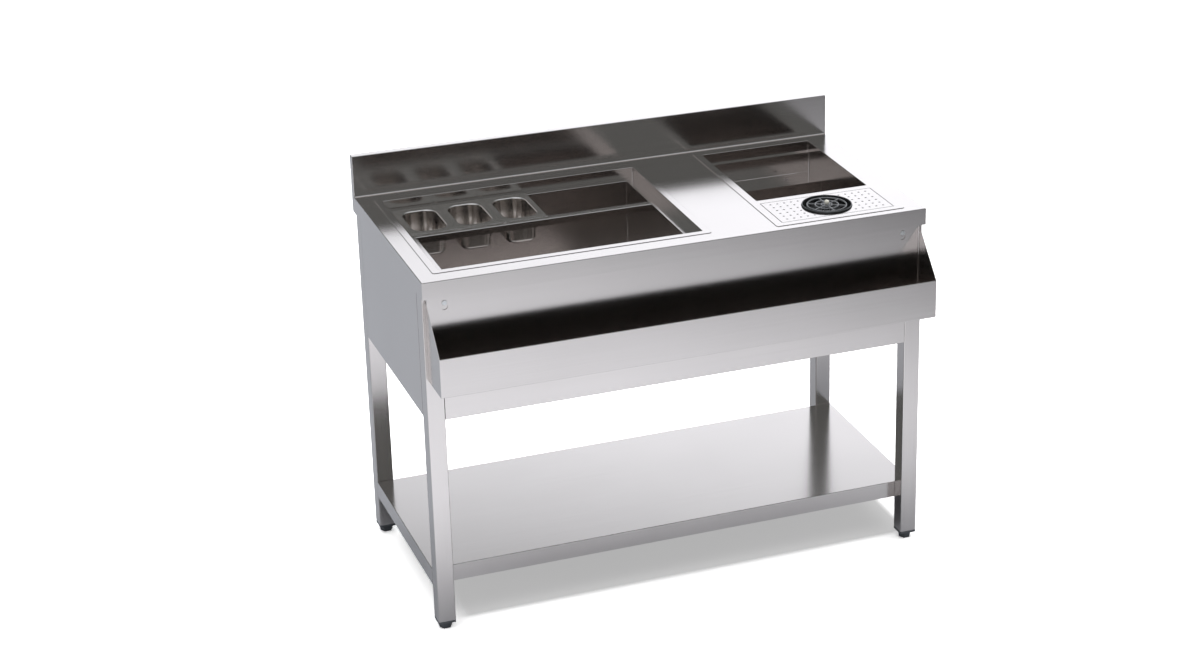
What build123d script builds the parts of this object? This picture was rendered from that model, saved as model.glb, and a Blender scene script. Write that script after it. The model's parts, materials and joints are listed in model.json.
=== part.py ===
from build123d import *
import os

# A bar worker's cocktail station in folded stainless sheet on a square-tube stand.
# Millimetres, +Z up. X runs along the counter, -Y is the worker's side.
# The origin is on the floor, under the middle of the station with its speed rail.

# Worktop
width = 1200.0
depth = 600.0
worktop_height = 860.0
fascia_height = 40.0
upstand_height = 100.0
upstand_thickness = 20.0
sheet = 1.2
hem_height = 10.0
fold_radius = 1.5
upstand_fold_radius = 3.0

# Stand: legs, levelling feet and the tube frame under the worktop
leg_size = 40.0
leg_wall = 1.5
leg_corner_radius = 2.0
leg_inner_radius = 1.0
leg_setback = 16.0
leg_side_inset = 1.5
rear_overhang = 24.0
plug_flange = 6.0
plug_depth = 22.0
plug_clearance = 0.2
foot_height = 16.0
foot_across = 30.0
foot_base_across = 26.0
foot_stud_radius = 5.0
foot_stud_length = 45.0
frame_tube_width = 20.0
frame_tube_height = 30.0
frame_tube_wall = 1.5

# Skirt panels and their rivets
panel_drop = 337.0
panel_return = 15.0
panel_gap = 0.5
rivet_inset = 9.0
rivet_end_margin = 35.0
rivets_per_edge = 3
rivet_radius = 1.6
rivet_head_radius = 3.2
rivet_head_height = 1.0
rivet_tail_radius = 2.3
rivet_tail_length = 3.0

# Shelf
shelf_height = 141.0
shelf_edge = 40.0
shelf_return = 12.0
stiffener_width = 60.0
stiffener_height = 25.0
stiffener_lip = 15.0
stiffener_end_gap = 0.5
shelf_bolt_radius = 3.0
shelf_bolt_spacing = 18.0
shelf_bolt_head_across = 10.0
shelf_bolt_head_height = 4.0
shelf_bolt_reach = 9.0
shelf_nut_height = 5.0

# Drop-in flanges, shared by the ice well and the sink unit
flange_rise = 1.2
flange_corner_radius = 6.0
flange_edge_radius = 0.8
cutout_clearance = 2.0
basin_corner_radius = 2.5
basin_floor_radius = 1.0

# Insulated ice well
well_left_margin = 37.0
well_front_margin = 43.0
well_back_margin = 37.0
wells_gap = 149.0
well_lip = 17.0
well_ledge_depth = 24.2
well_ledge_width = 24.0
well_depth = 201.2
foam_thickness = 22.0
jacket_sheet = 1.0
well_drain_inset = 60.0

# Pan rail and the three ninth-size pans behind it
pan_rail_width = 20.6
pan_rail_height = 16.0
pan_rail_return = 6.0
pan_rail_overlap = 10.0
pan_names = ("pan_left", "pan_middle", "pan_right")
pan_length = 176.0
pan_width = 108.0
pan_depth = 65.0
pan_sheet = 0.8
pan_gap = 0.4
pan_side_inset = 17.0
pan_back_gap = 10.0
pan_seat_gap = 0.2
pan_side_flange = 14.0
pan_end_flange = 22.0
pan_taper = 5.0
pan_flange_radius = 7.0
pan_mouth_radius = 26.0
pan_floor_radius = 9.0
pan_rim_radius = 2.4

# Sink unit: a bowl with a step along its back, behind a drip-tray recess
sink_width = 320.0
sink_right_margin = 44.0
sink_front_margin = 21.0
sink_back_margin = 19.0
sink_side_lip = 20.0
sink_end_lip = 18.0
sink_bar = 20.0
sink_depth = 161.2
sink_ledge_depth = 27.2
sink_ledge_width = 9.0
sink_step_depth = 77.2
sink_step_width = 77.0
sink_tap_hole_radius = 6.0
sink_tap_from_right = 76.0
sink_tap_from_back = 34.0
tray_opening = 134.0
recess_depth = 44.2
recess_ledge_depth = 12.2
recess_ledge_width = 6.0
recess_drain_from_right = 34.0

# Perforated drip tray
tray_gap = 0.8
tray_seat_gap = 0.2
tray_hole_radius = 2.5
tray_columns = 15
tray_rows = 6
tray_column_pitch = 17.2
tray_row_pitch = 20.0
tray_hole_margin = 3.0

# Glass rinser in the tray
rinser_radius = 58.5
rinser_rise = 3.8
rinser_wall = 2.5
rinser_rim_radius = 0.8
rinser_dish_depth = 16.0
rinser_tray_clearance = 1.0
rinser_pedestal_radius = 24.0
rinser_shank_radius = 10.45
rinser_shank_length = 42.0
rinser_cavity_radius = 11.0
rinser_cavity_depth = 14.0
rinser_outlet_radius = 4.0
rinser_outlet_circle = 38.0
grille_drop = 1.0
grille_thickness = 4.0
grille_rim_gap = 8.5
grille_ring_width = 3.4
grille_ring_radii = (12.5, 27.0)
grille_hub_radius = 8.0
grille_spokes = 6
grille_spoke_width = 4.0
grille_edge_radius = 0.8
nozzle_radius = 6.0
nozzle_sink = 2.0
stem_radius = 4.0
stem_length = 56.0
spring_radius = 7.6
spring_wire_radius = 0.7
spring_turns = 5
inlet_across = 26.0
inlet_collar = 12.0
inlet_nipple_length = 18.0
inlet_bore_radius = 6.0

# Threaded waste fittings, gaskets and nuts
gasket_thickness = 1.5
gasket_lap = 6.0
nut_height = 7.0
nut_rim = 6.0
well_waste_radius = 16.6
well_waste_bore = 13.0
well_waste_flange = 30.0
well_spigot_radius = 15.0
well_spigot_length = 35.0
tray_waste_radius = 10.45
tray_waste_bore = 6.5
tray_waste_flange = 15.0
tray_spigot_radius = 9.0
tray_spigot_length = 25.0
waste_thread_end = 4.0
waste_flange_thickness = 2.0
strainer_thickness = 1.0
strainer_lap = 4.0
strainer_hole_radius = 2.0
strainer_holes = 6

# Speed rail hung on the front by keyholes
rail_end_inset = 9.0
rail_depth = 97.5
rail_front_height = 91.0
rail_back_height = 196.5
rail_top_drop = 3.0
rail_hem = 10.0
rail_lip_radius = 0.9
keyhole_end_inset = 43.0
keyhole_top_inset = 25.0
keyhole_radius = 7.0
keyhole_slot_radius = 3.5
keyhole_travel = 9.7
rail_stud_head_radius = 6.0
rail_stud_head_height = 1.5
rail_stud_head_rounding = 0.8
rail_stud_reach = 9.0
rail_nut_across = 10.0
rail_nut_height = 5.0

# Clearances
running_clearance = 0.05
seat_gap = 0.3
overcut = 1.0

# Levels
top_z = worktop_height
under_z = top_z - sheet
fascia_bottom = top_z - fascia_height
upstand_top = top_z + upstand_height
leg_bottom = foot_height + plug_flange
frame_bottom = under_z - frame_tube_height
panel_bottom = top_z - panel_drop
flange_top = top_z + flange_rise
ledge_z = flange_top - well_ledge_depth
well_floor = flange_top - well_depth
sink_ledge_z = flange_top - sink_ledge_depth
sink_step_z = flange_top - sink_step_depth
sink_floor = flange_top - sink_depth
recess_ledge_z = flange_top - recess_ledge_depth
recess_floor = flange_top - recess_depth


def widen(span, amount):
    """A (low, high) span made longer by the same amount at both ends."""
    return (span[0] - amount, span[1] + amount)


def middle(span):
    return (span[0] + span[1]) / 2


def length(span):
    return span[1] - span[0]


# Plan: every span is a (low, high) pair in X or Y
half_width = width / 2
rail_reach = rail_depth - leg_setback
back_y = (depth + rail_reach) / 2
front_y = back_y - depth
upstand_front = back_y - upstand_thickness
side_face = half_width - leg_side_inset
front_face = front_y + leg_setback
rear_face = back_y - rear_overhang
front_leg_y = (front_face, front_face + leg_size)
rear_leg_y = (rear_face - leg_size, rear_face)
leg_inner_x = side_face - leg_size
sink_x = (half_width - sink_right_margin - sink_width, half_width - sink_right_margin)
sink_y = (front_y + sink_front_margin, upstand_front - sink_back_margin)
well_x = (-half_width + well_left_margin, sink_x[0] - wells_gap)
well_y = (front_y + well_front_margin, upstand_front - well_back_margin)
well_open_x = widen(well_x, -well_lip)
well_open_y = widen(well_y, -well_lip)
basin_x = widen(well_open_x, -well_ledge_width)
basin_y = widen(well_open_y, -well_ledge_width)
pan_back = well_open_y[1] - pan_back_gap
pan_y = (pan_back - pan_length, pan_back)
pan_rail_back = pan_y[0] + pan_rail_overlap
sink_open_x = widen(sink_x, -sink_side_lip)
tray_open_y = (sink_y[0] + sink_end_lip, sink_y[0] + sink_end_lip + tray_opening)
sink_open_y = (tray_open_y[1] + sink_bar, sink_y[1] - sink_end_lip)
sink_basin_y = widen(sink_open_y, -sink_ledge_width)
sink_bowl_y = (sink_basin_y[0], sink_basin_y[1] - sink_step_width)
rinser_x = middle(sink_open_x)
rinser_y = middle(tray_open_y)
rinser_rim = flange_top + rinser_rise
corners = {
    "front_left": (-1, front_leg_y),
    "front_right": (1, front_leg_y),
    "rear_left": (-1, rear_leg_y),
    "rear_right": (1, rear_leg_y),
}


def block(x, y, z):
    """A box that fills three (low, high) spans."""
    return Pos(middle(x), middle(y), middle(z)) * Box(length(x), length(y), length(z))


def rounded_block(x, y, z, radius):
    """A box with rounded upright edges."""
    outline = Pos(middle(x), middle(y), z[0]) * RectangleRounded(length(x), length(y), radius)
    return extrude(outline, length(z))


def tub(x, y, z, radius):
    """A box with rounded upright edges and a rounded bottom, the inside of a basin."""
    body = rounded_block(x, y, z, radius)
    floor_radius = radius - basin_corner_radius + basin_floor_radius
    return fillet(body.faces().sort_by(Axis.Z)[0].edges(), floor_radius)


def rod(x, y, z, radius):
    """An upright cylinder over a Z span."""
    return Pos(x, y, middle(z)) * Cylinder(radius, length(z))


def ring(x, y, z, outer, inner):
    return rod(x, y, z, outer) - rod(x, y, widen(z, overcut), inner)


def hexagon(x, y, z, across):
    """An upright hexagonal prism, measured across its flats."""
    outline = Pos(x, y, z[0]) * RegularPolygon(across / 2, 6, major_radius=False)
    return extrude(outline, length(z))


def tube_along(x, y, z, axis, wall):
    """A rectangular tube that runs the whole span of its axis ("X" or "Y")."""
    hollow_x = widen(x, overcut if axis == "X" else -wall)
    hollow_y = widen(y, overcut if axis == "Y" else -wall)
    return block(x, y, z) - block(hollow_x, hollow_y, widen(z, -wall))


def rod_along_x(x, y, z, radius):
    """A cylinder that lies along X over an X span."""
    return Pos(middle(x), y, z) * Rot(0, 90, 0) * Cylinder(radius, length(x))


def rod_along_y(x, y, z, radius):
    """A cylinder that lies along Y over a Y span."""
    return Pos(x, middle(y), z) * Rot(90, 0, 0) * Cylinder(radius, length(y))


def hexagon_along_y(x, y, z, across):
    """A hexagonal prism that lies along Y over a Y span."""
    return Pos(x, middle(y), z) * Rot(90, 0, 0) * hexagon(0, 0, widen((0, 0), length(y) / 2), across)


# Worktop: one folded sheet with a closed upstand, a hemmed front edge and two cut-outs
def make_worktop():
    full_x = (-half_width, half_width)
    inside_x = widen(full_x, -sheet)
    body = block(full_x, (front_y, back_y), (fascia_bottom, top_z))
    body += block(full_x, (upstand_front, back_y), (top_z, upstand_top))
    level_edges = body.edges().filter_by(Axis.X).filter_by_position(Axis.Z, top_z - sheet, top_z + sheet)
    level_edges = level_edges.sort_by(Axis.Y)
    body = fillet(level_edges[-1], upstand_fold_radius)
    body = fillet(body.edges().filter_by(Axis.X).group_by(Axis.Z)[-1], fold_radius)
    near_top = widen((top_z, top_z), sheet / 2)
    top_face = body.faces().filter_by(Axis.Z).filter_by_position(Axis.Z, *near_top)[0]
    body = fillet(top_face.edges().sort_by(Axis.Y)[:-1], fold_radius)
    body -= block(inside_x, (front_y + sheet, back_y - sheet), (fascia_bottom - overcut, under_z))
    upstand_inside_y = (upstand_front + sheet, back_y - sheet)
    body -= block(inside_x, upstand_inside_y, (under_z - overcut, upstand_top - sheet))
    hem_y = (front_y + sheet, front_y + 2 * sheet)
    body += block(inside_x, hem_y, (fascia_bottom, fascia_bottom + hem_height))
    through = (under_z - overcut, top_z + overcut)
    margin = sheet + cutout_clearance
    body -= block(widen(well_open_x, margin), widen(well_open_y, margin), through)
    body -= block(widen(sink_open_x, margin), (tray_open_y[0] - margin, sink_open_y[1] + margin), through)
    return body


# Tube frame under the worktop, welded between the legs
def make_frame():
    z = (frame_bottom, under_z)
    front = (front_face + sheet, front_face + sheet + frame_tube_width)
    rear = (rear_face - sheet - frame_tube_width, rear_face - sheet)
    outer = side_face - sheet
    middle_x = (well_x[1] + sink_x[0]) / 2
    between_legs_x = (-leg_inner_x, leg_inner_x)
    between_legs_y = (front_leg_y[1], rear_leg_y[0])
    left = (-outer, -outer + frame_tube_width)
    right = (outer - frame_tube_width, outer)
    across = widen((middle_x, middle_x), frame_tube_width / 2)
    return {
        "frame_front": tube_along(between_legs_x, front, z, "X", frame_tube_wall),
        "frame_rear": tube_along(between_legs_x, rear, z, "X", frame_tube_wall),
        "frame_left": tube_along(left, between_legs_y, z, "Y", frame_tube_wall),
        "frame_right": tube_along(right, between_legs_y, z, "Y", frame_tube_wall),
        "frame_middle": tube_along(across, (front[1], rear[0]), z, "Y", frame_tube_wall),
    }


# Skirt panels: each is drawn facing -Y about the origin, then turned to its side of the stand
panel_runs = {
    "front": (2 * leg_inner_x - 2 * panel_gap, Pos(0, front_face, 0)),
    "rear": (2 * leg_inner_x - 2 * panel_gap, Pos(0, rear_face, 0) * Rot(0, 0, 180)),
    "left": (
        rear_leg_y[0] - front_leg_y[1] - 2 * panel_gap,
        Pos(-side_face, (front_leg_y[1] + rear_leg_y[0]) / 2, 0) * Rot(0, 0, -90),
    ),
    "right": (
        rear_leg_y[0] - front_leg_y[1] - 2 * panel_gap,
        Pos(side_face, (front_leg_y[1] + rear_leg_y[0]) / 2, 0) * Rot(0, 0, 90),
    ),
}
return_top = frame_bottom - panel_gap
rivet_low = panel_bottom + rivet_end_margin
rivet_step = (return_top - rivet_end_margin - rivet_low) / (rivets_per_edge - 1)
rivet_levels = [rivet_low + rivet_step * index for index in range(rivets_per_edge)]


def rivet_holes(run):
    """Drilled holes through a panel's side returns and the leg walls beyond them."""
    reach = panel_gap + leg_wall + overcut
    holes = []
    for z in rivet_levels:
        for end in (-1, 1):
            span = sorted((end * (run / 2 - sheet - overcut), end * (run / 2 + reach)))
            holes.append(rod_along_x(span, rivet_inset, z, rivet_radius + running_clearance))
    return holes


def rivet(run, end, z):
    """One blind rivet: head inside the return, shank through the leg wall, swollen tail in the leg."""
    head_top = run / 2 - sheet
    tail_start = run / 2 + panel_gap + leg_wall
    head = sorted((end * (head_top - rivet_head_height), end * head_top))
    shank = sorted((end * head_top, end * tail_start))
    tail = sorted((end * tail_start, end * (tail_start + rivet_tail_length)))
    body = rod_along_x(head, rivet_inset, z, rivet_head_radius)
    body += rod_along_x(shank, rivet_inset, z, rivet_radius)
    return body + rod_along_x(tail, rivet_inset, z, rivet_tail_radius)


def make_panel(run):
    whole = (-run / 2, run / 2)
    body = block(whole, (0, sheet), (panel_bottom, under_z))
    body += block(whole, (0, panel_return), (panel_bottom, panel_bottom + sheet))
    body += block((whole[0], whole[0] + sheet), (0, panel_return), (panel_bottom, return_top))
    body += block((whole[1] - sheet, whole[1]), (0, panel_return), (panel_bottom, return_top))
    lower_edge = body.faces().sort_by(Axis.Y)[0].edges().sort_by(Axis.Z)[0]
    return fillet(lower_edge, fold_radius) - rivet_holes(run)


def make_rivets():
    return [
        place * rivet(run, end, z)
        for run, place in panel_runs.values()
        for z in rivet_levels
        for end in (-1, 1)
    ]


# Shelf bolts run along Y through the shelf's long edges into the legs
shelf_z = (shelf_height - shelf_edge, shelf_height)
shelf_bolt_z = middle(shelf_z)
shelf_bolt_places = [
    (side * (side_face - leg_size / 2) + offset, edge, inward)
    for side in (-1, 1)
    for edge, inward in ((front_leg_y[1], 1), (rear_leg_y[0], -1))
    for offset in (-shelf_bolt_spacing / 2, shelf_bolt_spacing / 2)
]


def shelf_bolt_hole(x, edge):
    span = widen((edge, edge), leg_wall + sheet + overcut)
    return rod_along_y(x, span, shelf_bolt_z, shelf_bolt_radius + running_clearance)


def shelf_bolt(x, edge, inward):
    seat = edge + inward * sheet
    head = sorted((seat, seat + inward * shelf_bolt_head_height))
    shank = sorted((seat, edge - inward * shelf_bolt_reach))
    body = hexagon_along_y(x, head, shelf_bolt_z, shelf_bolt_head_across)
    return body + rod_along_y(x, shank, shelf_bolt_z, shelf_bolt_radius)


def shelf_nut(x, edge, inward):
    seat = edge - inward * leg_wall
    span = sorted((seat, seat - inward * shelf_nut_height))
    body = hexagon_along_y(x, span, shelf_bolt_z, shelf_bolt_head_across)
    return body - rod_along_y(x, widen(span, overcut), shelf_bolt_z, shelf_bolt_radius + running_clearance)


# Legs, their plugs and the levelling feet
def leg_x_span(side):
    return tuple(sorted((side * side_face, side * leg_inner_x)))


def make_leg(side, y):
    x = leg_x_span(side)
    z = (leg_bottom, under_z)
    body = rounded_block(x, y, z, leg_corner_radius)
    body -= rounded_block(widen(x, -leg_wall), widen(y, -leg_wall), widen(z, overcut), leg_inner_radius)
    for run, place in panel_runs.values():
        body -= [place * hole for hole in rivet_holes(run)]
    return body - [shelf_bolt_hole(bolt_x, edge) for bolt_x, edge, _ in shelf_bolt_places]


def make_plug(side, y):
    x = leg_x_span(side)
    fit = leg_wall + plug_clearance
    body = rounded_block(x, y, (foot_height, leg_bottom), leg_corner_radius)
    stem_z = (leg_bottom, leg_bottom + plug_depth)
    body += rounded_block(widen(x, -fit), widen(y, -fit), stem_z, leg_inner_radius)
    through = (foot_height - overcut, leg_bottom + plug_depth + overcut)
    return body - rod(middle(x), middle(y), through, foot_stud_radius + running_clearance)


def make_foot(side, y):
    x = middle(leg_x_span(side))
    shoulder = foot_height - seat_gap
    base = Pos(x, middle(y), 0) * RegularPolygon(foot_base_across / 2, 6, major_radius=False)
    crown = Pos(x, middle(y), shoulder) * RegularPolygon(foot_across / 2, 6, major_radius=False)
    return loft([base, crown]) + rod(x, middle(y), (shoulder, shoulder + foot_stud_length), foot_stud_radius)


# Shelf: a tray folded down and in on all four sides, with a hat-section stiffener
shelf_x = (-side_face, side_face)
shelf_y = (front_leg_y[1], rear_leg_y[0])


def make_shelf():
    hollow_z = (shelf_z[0] + sheet, shelf_z[1] - sheet)
    body = block(shelf_x, shelf_y, shelf_z)
    body = fillet(body.edges().group_by(Axis.Z)[-1], fold_radius)
    body -= block(widen(shelf_x, -sheet), widen(shelf_y, -sheet), hollow_z)
    mouth_x = widen(shelf_x, -shelf_return)
    mouth_y = widen(shelf_y, -shelf_return)
    body -= block(mouth_x, mouth_y, (shelf_z[0] - overcut, hollow_z[1]))
    return body - [shelf_bolt_hole(x, edge) for x, edge, _ in shelf_bolt_places]


def make_stiffener():
    run = widen(shelf_x, -sheet - stiffener_end_gap)
    top = shelf_height - sheet
    web = widen((middle(shelf_y), middle(shelf_y)), stiffener_width / 2)
    body = block(run, widen(web, stiffener_lip), (top - sheet, top))
    body += block(run, web, (top - stiffener_height, top))
    hollow_z = (top - stiffener_height + sheet, top + overcut)
    return body - block(widen(run, overcut), widen(web, -sheet), hollow_z)


# Ice well: a drop-in liner with a ledge, foam and an outer jacket
well_drain_x = basin_x[0] + well_drain_inset
well_drain_y = basin_y[0] + well_drain_inset
foam_bottom = well_floor - sheet - foam_thickness
jacket_bottom = foam_bottom - jacket_sheet


def inner_loop(body, level):
    """The edges round the hole in the largest flat face of a body within half a sheet of one level."""
    near = widen((level, level), sheet / 2)
    faces = body.faces().filter_by(Axis.Z).filter_by_position(Axis.Z, *near)
    return faces.sort_by(SortBy.AREA)[-1].inner_wires().edges()


def make_liner():
    upper = (ledge_z, flange_top)
    lower = (well_floor, flange_top)
    outer_radius = basin_corner_radius + sheet
    body = rounded_block(well_x, well_y, (top_z, flange_top), flange_corner_radius)
    body += rounded_block(
        widen(well_open_x, sheet), widen(well_open_y, sheet), (ledge_z - sheet, top_z), outer_radius
    )
    body += tub(widen(basin_x, sheet), widen(basin_y, sheet), (well_floor - sheet, ledge_z), outer_radius)
    body -= rounded_block(well_open_x, well_open_y, (upper[0], upper[1] + overcut), basin_corner_radius)
    body -= tub(basin_x, basin_y, lower, basin_corner_radius)
    body = fillet(body.faces().sort_by(Axis.Z)[-1].edges(), flange_edge_radius)
    body = fillet(inner_loop(body, ledge_z), flange_edge_radius)
    floor_cut = widen((well_floor - sheet, well_floor), overcut)
    return body - rod(well_drain_x, well_drain_y, floor_cut, well_waste_radius + running_clearance)


def make_insulation():
    outer_radius = basin_corner_radius + sheet
    inner_x = widen(basin_x, sheet)
    inner_y = widen(basin_y, sheet)
    z = (foam_bottom, ledge_z - sheet)
    body = block(widen(inner_x, foam_thickness), widen(inner_y, foam_thickness), z)
    body -= tub(inner_x, inner_y, (well_floor - sheet, z[1] + overcut), outer_radius)
    return body - rod(well_drain_x, well_drain_y, widen(z, overcut), well_waste_radius + running_clearance)


def make_jacket():
    inner_x = widen(basin_x, sheet + foam_thickness)
    inner_y = widen(basin_y, sheet + foam_thickness)
    z = (jacket_bottom, ledge_z - sheet)
    body = block(widen(inner_x, jacket_sheet), widen(inner_y, jacket_sheet), z)
    body -= block(inner_x, inner_y, (foam_bottom, z[1] + overcut))
    return body - rod(well_drain_x, well_drain_y, widen(z, overcut), well_waste_radius + running_clearance)


# Waste fittings: a flange above the floor, a gasket, a threaded tail with its nut, and a hose spigot
def waste(x, y, floor, underside, radius, bore, flange, spigot_radius, spigot_length):
    seat = floor + gasket_thickness
    crown = seat + waste_flange_thickness
    thread_end = underside - nut_height - waste_thread_end
    outlet = thread_end - spigot_length
    body = rod(x, y, (seat, crown), flange) + rod(x, y, (thread_end, seat), radius)
    body += rod(x, y, (outlet, thread_end), spigot_radius)
    return body - rod(x, y, widen((outlet, crown), overcut), bore)


def gasket(x, y, floor, radius):
    return ring(x, y, (floor, floor + gasket_thickness), radius + gasket_lap, radius + running_clearance)


def waste_nut(x, y, top, radius):
    z = (top - nut_height, top)
    body = hexagon(x, y, z, 2 * (radius + nut_rim))
    return body - rod(x, y, widen(z, overcut), radius + running_clearance)


large_waste_sizes = (well_waste_radius, well_waste_bore, well_waste_flange, well_spigot_radius, well_spigot_length)
small_waste_sizes = (tray_waste_radius, tray_waste_bore, tray_waste_flange, tray_spigot_radius, tray_spigot_length)


def make_well_waste():
    body = waste(well_drain_x, well_drain_y, well_floor, jacket_bottom, *large_waste_sizes)
    crown = well_floor + gasket_thickness + waste_flange_thickness
    seat = (crown - strainer_thickness, crown + overcut)
    return body - rod(well_drain_x, well_drain_y, seat, well_waste_bore + strainer_lap + running_clearance)


def make_strainer():
    crown = well_floor + gasket_thickness + waste_flange_thickness
    z = (crown - strainer_thickness, crown)
    body = rod(well_drain_x, well_drain_y, z, well_waste_bore + strainer_lap)
    hole = Cylinder(strainer_hole_radius, strainer_thickness + 2 * overcut)
    spots = PolarLocations((well_waste_bore + strainer_hole_radius) / 2, strainer_holes)
    centre = Pos(well_drain_x, well_drain_y, middle(z))
    body -= [centre * spot * hole for spot in spots]
    return body - centre * hole


# Pan rail: an inverted channel between the side ledges, returned at its front foot
def make_pan_rail():
    y = (pan_rail_back - pan_rail_width, pan_rail_back)
    z = (ledge_z - pan_rail_height, ledge_z)
    body = block(basin_x, y, z)
    body = fillet(body.edges().filter_by(Axis.X).group_by(Axis.Z)[-1], fold_radius)
    body -= block(widen(basin_x, overcut), widen(y, -sheet), (z[0] - overcut, z[1] - sheet))
    return body + block(basin_x, (y[0], y[0] + pan_rail_return), (z[0], z[0] + sheet))


# Pans: a flat flange and a tapered well, standing on the rail and the back ledge
pan_top = ledge_z + pan_seat_gap + pan_sheet
pan_pitch = pan_width + pan_gap


def pan_body(x, y, top, floor, grow, radius):
    """The tapered inside of a pan, or its outside when grown by the wall."""
    mouth_x = widen(x, grow - pan_side_flange)
    mouth_y = widen(y, grow - pan_end_flange)
    corner = pan_mouth_radius + grow
    mouth = RectangleRounded(length(mouth_x), length(mouth_y), corner)
    base_x = widen(mouth_x, -pan_taper)
    base_y = widen(mouth_y, -pan_taper)
    base = RectangleRounded(length(base_x), length(base_y), corner - pan_taper)
    centre = (middle(x), middle(y))
    body = loft([Pos(*centre, floor) * base, Pos(*centre, top) * mouth], ruled=True)
    return fillet(body.faces().sort_by(Axis.Z)[0].edges(), radius)


def make_pan(index):
    low_x = well_open_x[0] + pan_side_inset + index * pan_pitch
    x = (low_x, low_x + pan_width)
    floor = pan_top - pan_depth
    body = pan_body(x, pan_y, pan_top - pan_sheet, floor, pan_sheet, pan_floor_radius)
    body += rounded_block(x, pan_y, (pan_top - pan_sheet, pan_top), pan_flange_radius)
    throat = [edge for edge in body.edges() if is_throat(edge, pan_top - pan_sheet, x)]
    body = fillet(throat, pan_rim_radius - pan_sheet)
    body -= pan_body(x, pan_y, pan_top, floor + pan_sheet, 0, pan_floor_radius - pan_sheet)
    rim = [edge for edge in body.edges() if is_throat(edge, pan_top, x)]
    return fillet(rim, pan_rim_radius)


def is_throat(edge, level, x):
    """True for the level edges round a pan's mouth, and false for those round its flange."""
    box = edge.bounding_box()
    tolerance = pan_sheet / 4
    flat = abs(box.min.Z - level) < tolerance and abs(box.max.Z - level) < tolerance
    inside_x = box.min.X > x[0] + pan_side_flange / 2 and box.max.X < x[1] - pan_side_flange / 2
    inside_y = box.min.Y > pan_y[0] + pan_end_flange / 2 and box.max.Y < pan_y[1] - pan_end_flange / 2
    return flat and inside_x and inside_y


# Sink unit: a deck plate with a stepped sink and a recess for the drip tray welded under its openings
recess_x = widen(sink_open_x, -recess_ledge_width)
recess_y = widen(tray_open_y, -recess_ledge_width)
sink_drain_x = middle(sink_open_x)
sink_drain_y = middle(sink_bowl_y)
sink_tap_x = sink_open_x[1] - sink_tap_from_right
sink_tap_y = sink_basin_y[1] - sink_tap_from_back
recess_drain_x = recess_x[1] - recess_drain_from_right


def make_sink_deck():
    z = (top_z, flange_top)
    body = rounded_block(sink_x, sink_y, z, flange_corner_radius)
    body -= rounded_block(sink_open_x, sink_open_y, widen(z, overcut), basin_corner_radius)
    body -= rounded_block(sink_open_x, tray_open_y, widen(z, overcut), basin_corner_radius)
    return fillet(body.faces().sort_by(Axis.Z)[-1].edges(), flange_edge_radius)


def stepped_basin(levels):
    """A sheet basin in steps: for each space, from the top down, its floor's height and its x and y spans."""
    radius = basin_corner_radius
    ledge, open_x, open_y = levels[0]
    body = rounded_block(widen(open_x, sheet), widen(open_y, sheet), (ledge - sheet, top_z), radius + sheet)
    spaces = [rounded_block(open_x, open_y, (ledge, top_z + overcut), radius)]
    roof = ledge
    for floor, x, y in levels[1:]:
        body += tub(widen(x, sheet), widen(y, sheet), (floor - sheet, roof), radius + sheet)
        spaces.append(tub(x, y, (floor, roof + overcut), radius))
        roof = floor + radius
    for space in spaces:
        body -= space
    return body


def make_sink_bowl():
    ledge = (sink_ledge_z, sink_open_x, sink_open_y)
    step = (sink_step_z, sink_open_x, sink_basin_y)
    bowl = (sink_floor, sink_open_x, sink_bowl_y)
    body = stepped_basin([ledge, step, bowl])
    step_cut = widen((sink_step_z - sheet, sink_step_z), overcut)
    body -= rod(sink_tap_x, sink_tap_y, step_cut, sink_tap_hole_radius)
    floor_cut = widen((sink_floor - sheet, sink_floor), overcut)
    return body - rod(sink_drain_x, sink_drain_y, floor_cut, well_waste_radius + running_clearance)


def make_tray_recess():
    ledge = (recess_ledge_z, sink_open_x, tray_open_y)
    body = stepped_basin([ledge, (recess_floor, recess_x, recess_y)])
    body = fillet(inner_loop(body, recess_ledge_z), flange_edge_radius)
    cut = widen((recess_floor - sheet, recess_floor), overcut)
    body -= rod(recess_drain_x, rinser_y, cut, tray_waste_radius + running_clearance)
    return body - rod(rinser_x, rinser_y, cut, rinser_shank_radius + running_clearance)


# Drip tray: a perforated lid folded down all round, open in the middle for the rinser
def make_drip_tray():
    x = widen(sink_open_x, -tray_gap)
    y = widen(tray_open_y, -tray_gap)
    z = (recess_ledge_z + tray_seat_gap, flange_top)
    corner = basin_corner_radius - tray_gap
    opening = rinser_radius + rinser_tray_clearance
    body = rounded_block(x, y, z, corner)
    body = fillet(body.faces().sort_by(Axis.Z)[-1].edges(), flange_edge_radius)
    body -= rounded_block(widen(x, -sheet), widen(y, -sheet), (z[0] - overcut, z[1] - sheet), corner - sheet)
    body -= rod(rinser_x, rinser_y, widen(z, overcut), opening)
    keep_out = opening + tray_hole_radius + tray_hole_margin
    grid = GridLocations(tray_column_pitch, tray_row_pitch, tray_columns, tray_rows)
    spots = [spot.position for spot in grid if Vector(spot.position.X, spot.position.Y).length > keep_out]
    hole = Cylinder(tray_hole_radius, sheet + 2 * overcut)
    return body - [Pos(rinser_x + spot.X, rinser_y + spot.Y, flange_top - sheet / 2) * hole for spot in spots]


# Glass rinser: a dish on a threaded shank, and a sprung grille that carries the spray nozzle
dish_floor = rinser_rim - rinser_dish_depth
pedestal_bottom = recess_floor + gasket_thickness
shank_bottom = pedestal_bottom - rinser_shank_length
grille_top = rinser_rim - grille_drop
grille_bottom = grille_top - grille_thickness
cavity_floor = dish_floor - rinser_cavity_depth


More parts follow.
